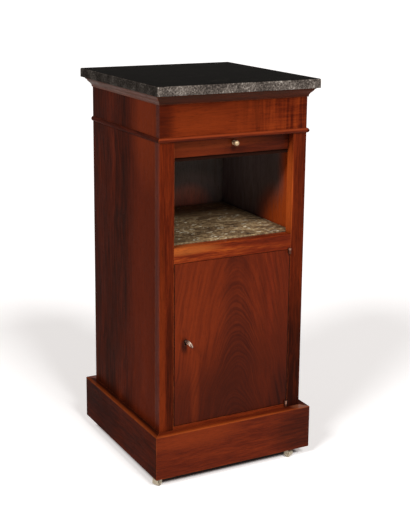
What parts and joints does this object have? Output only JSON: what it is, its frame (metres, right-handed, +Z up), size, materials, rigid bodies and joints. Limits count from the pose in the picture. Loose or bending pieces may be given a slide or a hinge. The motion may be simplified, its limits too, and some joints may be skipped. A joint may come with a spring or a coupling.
{
  "type": "bedside pot cupboard",
  "caption": "Square mahogany bedside cupboard with a stone top, ogee cornice, shallow drawer, open niche with a stone floor, flame-veneered door with key, and a plinth on brass castors.",
  "frame": {"origin": "centre of the bounding box at floor level, where the castor rollers touch the floor", "axes": "+Z up; -Y to the front, where the door, the niche and the drawer open; +X to the right seen from the front"},
  "size_m": [0.384, 0.412, 0.859],
  "materials": {
    "mahogany": "polished veneer",
    "flame_mahogany": "polished veneer",
    "secondary_wood": "planed, unpolished",
    "granite": "honed",
    "niche_stone": "worn",
    "brass": "aged polish",
    "castor_brass": "tarnished",
    "key_steel": "worn"
  },
  "bodies": {
    "case": {"marble_top": "granite", "top_board": "secondary_wood", "cornice_front": "mahogany", "cornice_back": "mahogany", "cornice_left": "mahogany", "cornice_right": "mahogany", "frieze_rail": "mahogany", "astragal_front": "mahogany", "astragal_left": "mahogany", "astragal_right": "mahogany", "side_panel_left": "mahogany", "side_panel_right": "mahogany", "stile_left": "mahogany", "stile_right": "mahogany", "back_panel": "secondary_wood", "dust_board": "secondary_wood", "drawer_guides": "secondary_wood", "stone_shelf": "niche_stone", "shelf_board": "secondary_wood", "niche_rail": "mahogany", "bottom_board": "mahogany", "door_stop": "secondary_wood", "hinge_top_fixed": "brass", "hinge_bottom_fixed": "brass", "hinge_screws_case": "brass", "strike_plate": "brass", "plinth_front_board": "mahogany", "plinth_back_board": "mahogany", "plinth_left_board": "mahogany", "plinth_right_board": "mahogany", "corner_blocks": "secondary_wood", "castor_sockets": "brass"},
    "door": {"door_panel": "flame_mahogany", "hinge_top_leaf": "brass", "hinge_bottom_leaf": "brass", "hinge_screws_door": "brass", "lock_case": "brass", "key_escutcheon": "brass"},
    "key": {"key": "key_steel"},
    "lock_bolt": {"lock_bolt": "brass"},
    "drawer": {"drawer_front": "mahogany", "drawer_side_left": "secondary_wood", "drawer_side_right": "secondary_wood", "drawer_back": "secondary_wood", "drawer_bottom": "secondary_wood", "drawer_knob": "brass", "knob_nut": "brass"},
    "castor_front_left": {"castor_fork_front_left": "castor_brass", "castor_axle_front_left": "castor_brass"},
    "roller_front_left": {"castor_roller_front_left": "castor_brass"},
    "castor_front_right": {"castor_fork_front_right": "castor_brass", "castor_axle_front_right": "castor_brass"},
    "roller_front_right": {"castor_roller_front_right": "castor_brass"},
    "castor_back_left": {"castor_fork_back_left": "castor_brass", "castor_axle_back_left": "castor_brass"},
    "roller_back_left": {"castor_roller_back_left": "castor_brass"},
    "castor_back_right": {"castor_fork_back_right": "castor_brass", "castor_axle_back_right": "castor_brass"},
    "roller_back_right": {"castor_roller_back_right": "castor_brass"}
  },
  "joints": [
    {"name": "door_hinge", "type": "hinge", "parent": "case", "child": "door", "pos_m": [0.138, -0.1784, 0.306], "axis": [0, 0, 1], "range_deg": [0, 165]},
    {"name": "key_turn", "type": "hinge", "parent": "door", "child": "key", "pos_m": [-0.114, -0.175, 0.314], "axis": [0, 1, 0], "range_deg": [0, 180]},
    {"name": "bolt_slide", "type": "slide", "parent": "door", "child": "lock_bolt", "axis": [-1, 0, 0], "range_m": [0, 0.007]},
    {"name": "drawer_slide", "type": "slide", "parent": "case", "child": "drawer", "axis": [0, -1, 0], "range_m": [0, 0.19]},
    {"name": "swivel_front_left", "type": "hinge", "parent": "case", "child": "castor_front_left", "pos_m": [-0.166, -0.168, 0.019], "axis": [0, 0, 1], "continuous": true},
    {"name": "roll_front_left", "type": "hinge", "parent": "castor_front_left", "child": "roller_front_left", "pos_m": [-0.18005, -0.17455, 0.008], "axis": [-0.4226, 0.9063, 0], "continuous": true},
    {"name": "swivel_front_right", "type": "hinge", "parent": "case", "child": "castor_front_right", "pos_m": [0.139, -0.168, 0.019], "axis": [0, 0, 1], "continuous": true},
    {"name": "roll_front_right", "type": "hinge", "parent": "castor_front_right", "child": "roller_front_right", "pos_m": [0.14675, -0.18142, 0.008], "axis": [-0.866, -0.5, 0], "continuous": true},
    {"name": "swivel_back_left", "type": "hinge", "parent": "case", "child": "castor_back_left", "pos_m": [-0.16, 0.16, 0.019], "axis": [0, 0, 1], "continuous": true},
    {"name": "roll_back_left", "type": "hinge", "parent": "castor_back_left", "child": "roller_back_left", "pos_m": [-0.15225, 0.17342, 0.008], "axis": [0.866, -0.5, 0], "continuous": true},
    {"name": "swivel_back_right", "type": "hinge", "parent": "case", "child": "castor_back_right", "pos_m": [0.16, 0.16, 0.019], "axis": [0, 0, 1], "continuous": true},
    {"name": "roll_back_right", "type": "hinge", "parent": "castor_back_right", "child": "roller_back_right", "pos_m": [0.16889, 0.1727, 0.008], "axis": [0.8192, -0.5736, 0], "continuous": true}
  ],
  "couplings": [
    {"joint": "bolt_slide", "follows": "key_turn", "m_per_rad": 0.002228}
  ]
}
